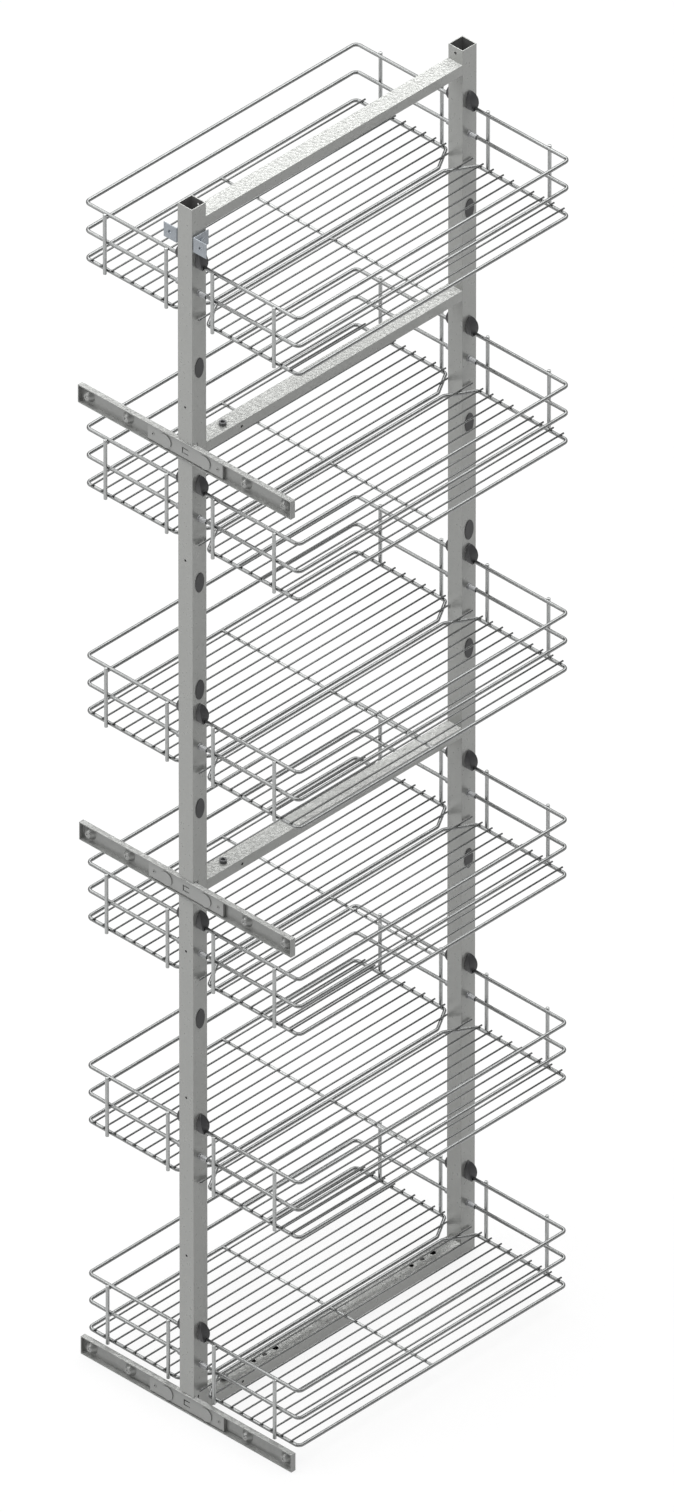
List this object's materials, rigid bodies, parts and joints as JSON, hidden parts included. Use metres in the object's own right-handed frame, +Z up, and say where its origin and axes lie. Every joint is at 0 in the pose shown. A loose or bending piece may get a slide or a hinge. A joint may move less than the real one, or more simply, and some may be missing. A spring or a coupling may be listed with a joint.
{
  "type": "pull-out pantry frame",
  "caption": "Tall pull-out pantry frame: square steel posts and cross rails, hook-on wire half-baskets on both sides and adjustable front bars that carry the cabinet door.",
  "frame": {"origin": "middle of the bottom rail's underside, where the frame sits on its runner", "axes": "+Z up along the posts, -Y towards the door, +X to the right seen from the door"},
  "size_m": [0.374, 0.512, 1.848],
  "materials": {
    "galvanised_tube": "galvanised, fine grain",
    "pressed_sheet": "galvanised sheet",
    "chrome_wire": "bright plated",
    "charcoal_plastic": "moulded, satin",
    "grey_plastic": "moulded, satin",
    "zinc_plate": "blue zinc plate",
    "screw_steel": "blackened, worn"
  },
  "bodies": {
    "frame": {"front_post": "galvanised_tube", "rear_post": "galvanised_tube", "top_rail": "galvanised_tube", "upper_rail": "galvanised_tube", "lower_rail": "galvanised_tube", "bottom_rail": "galvanised_tube", "left_bracket": "zinc_plate", "right_bracket": "zinc_plate", "bracket_screws": "zinc_plate", "clamp_screws": "screw_steel", "front_left_clips": "charcoal_plastic", "front_left_sleeves": "grey_plastic", "front_left_plugs": "charcoal_plastic", "front_right_clips": "charcoal_plastic", "front_right_sleeves": "grey_plastic", "front_right_plugs": "charcoal_plastic", "rear_left_clips": "charcoal_plastic", "rear_left_sleeves": "grey_plastic", "rear_left_plugs": "charcoal_plastic", "rear_right_clips": "charcoal_plastic", "rear_right_sleeves": "grey_plastic", "rear_right_plugs": "charcoal_plastic"},
    "upper_bar_bracket": {"upper_bar_plate": "pressed_sheet", "upper_bar_arm": "pressed_sheet"},
    "upper_door_bar": {"upper_bar": "pressed_sheet"},
    "lower_bar_bracket": {"lower_bar_plate": "pressed_sheet", "lower_bar_arm": "pressed_sheet"},
    "lower_door_bar": {"lower_bar": "pressed_sheet"},
    "bottom_bar_bracket": {"bottom_bar_plate": "pressed_sheet", "bottom_bar_arm": "pressed_sheet"},
    "bottom_door_bar": {"bottom_bar": "pressed_sheet"},
    "tier_1_left": {"tier_1_left_rails": "chrome_wire", "tier_1_left_floor": "chrome_wire"},
    "tier_1_right": {"tier_1_right_rails": "chrome_wire", "tier_1_right_floor": "chrome_wire"},
    "tier_2_left": {"tier_2_left_rails": "chrome_wire", "tier_2_left_floor": "chrome_wire"},
    "tier_2_right": {"tier_2_right_rails": "chrome_wire", "tier_2_right_floor": "chrome_wire"},
    "tier_3_left": {"tier_3_left_rails": "chrome_wire", "tier_3_left_floor": "chrome_wire"},
    "tier_3_right": {"tier_3_right_rails": "chrome_wire", "tier_3_right_floor": "chrome_wire"},
    "tier_4_left": {"tier_4_left_rails": "chrome_wire", "tier_4_left_floor": "chrome_wire"},
    "tier_4_right": {"tier_4_right_rails": "chrome_wire", "tier_4_right_floor": "chrome_wire"},
    "tier_5_left": {"tier_5_left_rails": "chrome_wire", "tier_5_left_floor": "chrome_wire"},
    "tier_5_right": {"tier_5_right_rails": "chrome_wire", "tier_5_right_floor": "chrome_wire"},
    "tier_6_left": {"tier_6_left_rails": "chrome_wire", "tier_6_left_floor": "chrome_wire"},
    "tier_6_right": {"tier_6_right_rails": "chrome_wire", "tier_6_right_floor": "chrome_wire"}
  },
  "joints": [
    {"name": "upper_bar_depth", "type": "slide", "parent": "frame", "child": "upper_bar_bracket", "axis": [0, -1, 0], "range_m": [0, 0.015]},
    {"name": "upper_bar_side", "type": "slide", "parent": "upper_bar_bracket", "child": "upper_door_bar", "axis": [1, 0, 0], "range_m": [-0.005, 0.005]},
    {"name": "lower_bar_depth", "type": "slide", "parent": "frame", "child": "lower_bar_bracket", "axis": [0, -1, 0], "range_m": [0, 0.015]},
    {"name": "lower_bar_side", "type": "slide", "parent": "lower_bar_bracket", "child": "lower_door_bar", "axis": [1, 0, 0], "range_m": [-0.005, 0.005]},
    {"name": "bottom_bar_depth", "type": "slide", "parent": "frame", "child": "bottom_bar_bracket", "axis": [0, -1, 0], "range_m": [0, 0.015]},
    {"name": "bottom_bar_side", "type": "slide", "parent": "bottom_bar_bracket", "child": "bottom_door_bar", "axis": [1, 0, 0], "range_m": [-0.005, 0.005]},
    {"name": "tier_1_left_pull_off", "type": "slide", "parent": "frame", "child": "tier_1_left", "axis": [-1, 0, 0], "range_m": [0, 0.2]},
    {"name": "tier_1_right_pull_off", "type": "slide", "parent": "frame", "child": "tier_1_right", "axis": [1, 0, 0], "range_m": [0, 0.2]},
    {"name": "tier_2_left_pull_off", "type": "slide", "parent": "frame", "child": "tier_2_left", "axis": [-1, 0, 0], "range_m": [0, 0.2]},
    {"name": "tier_2_right_pull_off", "type": "slide", "parent": "frame", "child": "tier_2_right", "axis": [1, 0, 0], "range_m": [0, 0.2]},
    {"name": "tier_3_left_pull_off", "type": "slide", "parent": "frame", "child": "tier_3_left", "axis": [-1, 0, 0], "range_m": [0, 0.2]},
    {"name": "tier_3_right_pull_off", "type": "slide", "parent": "frame", "child": "tier_3_right", "axis": [1, 0, 0], "range_m": [0, 0.2]},
    {"name": "tier_4_left_pull_off", "type": "slide", "parent": "frame", "child": "tier_4_left", "axis": [-1, 0, 0], "range_m": [0, 0.2]},
    {"name": "tier_4_right_pull_off", "type": "slide", "parent": "frame", "child": "tier_4_right", "axis": [1, 0, 0], "range_m": [0, 0.2]},
    {"name": "tier_5_left_pull_off", "type": "slide", "parent": "frame", "child": "tier_5_left", "axis": [-1, 0, 0], "range_m": [0, 0.2]},
    {"name": "tier_5_right_pull_off", "type": "slide", "parent": "frame", "child": "tier_5_right", "axis": [1, 0, 0], "range_m": [0, 0.2]},
    {"name": "tier_6_left_pull_off", "type": "slide", "parent": "frame", "child": "tier_6_left", "axis": [-1, 0, 0], "range_m": [0, 0.2]},
    {"name": "tier_6_right_pull_off", "type": "slide", "parent": "frame", "child": "tier_6_right", "axis": [1, 0, 0], "range_m": [0, 0.2]}
  ]
}
